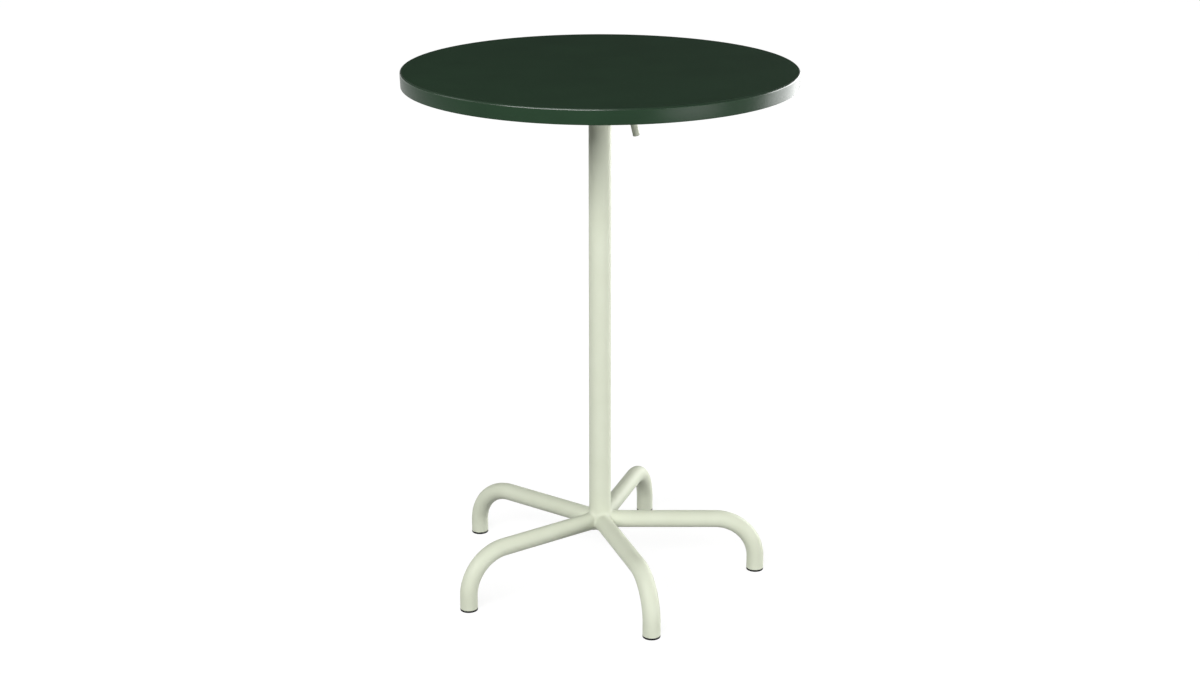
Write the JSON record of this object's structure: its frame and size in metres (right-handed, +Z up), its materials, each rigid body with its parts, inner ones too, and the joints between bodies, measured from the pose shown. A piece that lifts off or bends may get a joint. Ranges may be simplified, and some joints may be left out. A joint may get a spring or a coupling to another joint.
{
  "type": "folding bar table",
  "caption": "Tall round table: a satin moulded top with a down-turned rim that tilts upright for storage once a clamp lever is slackened, on a slim column with bent tubular legs.",
  "frame": {"origin": "on the floor, under the middle of the column and of the level top", "axes": "+Z up, +X along the first leg and towards the side of the top that lifts, -Y the front, where the clamp lever is"},
  "size_m": [0.7997, 0.7996, 1.1],
  "materials": {
    "moulded_top": "satin",
    "painted_base": "satin powder coat",
    "zinc_steel": "bright zinc plate",
    "brass": "turned",
    "black_plastic": "moulded",
    "bush_plastic": "moulded",
    "buffer_rubber": "moulded"
  },
  "bodies": {
    "base": {"column": "painted_base", "column_plug": "black_plastic", "head_bracket": "painted_base", "head_gussets": "painted_base", "leg_1": "painted_base", "leg_2": "painted_base", "leg_3": "painted_base", "leg_4": "painted_base", "leg_5": "painted_base", "foot_glide_1": "black_plastic", "foot_glide_2": "black_plastic", "foot_glide_3": "black_plastic", "foot_glide_4": "black_plastic", "foot_glide_5": "black_plastic", "hinge_bushes": "bush_plastic", "clamp_bolt": "zinc_steel", "clamp_spacer": "zinc_steel", "friction_discs": "zinc_steel", "clamp_washers": "zinc_steel", "dome_nut": "zinc_steel", "rest_buffers": "buffer_rubber", "stop_buffers": "buffer_rubber"},
    "top": {"table_top": "moulded_top", "threaded_inserts": "brass", "rail_screws": "zinc_steel", "screw_washers": "zinc_steel", "rail_front": "painted_base", "rail_back": "painted_base", "rest_strap": "painted_base", "stop_strap": "painted_base", "hinge_pin": "zinc_steel", "pin_circlips": "zinc_steel"},
    "lever": {"lever_hub": "painted_base", "lever_rod": "painted_base"}
  },
  "joints": [
    {"name": "top_tilt", "type": "hinge", "parent": "base", "child": "top", "pos_m": [-0.034, 0, 1.048], "axis": [0, -1, 0], "range_deg": [0, 90]},
    {"name": "lever_turn", "type": "hinge", "parent": "base", "child": "lever", "pos_m": [0.056, 0, 1.045], "axis": [0, -1, 0], "range_deg": [0, 60]}
  ]
}
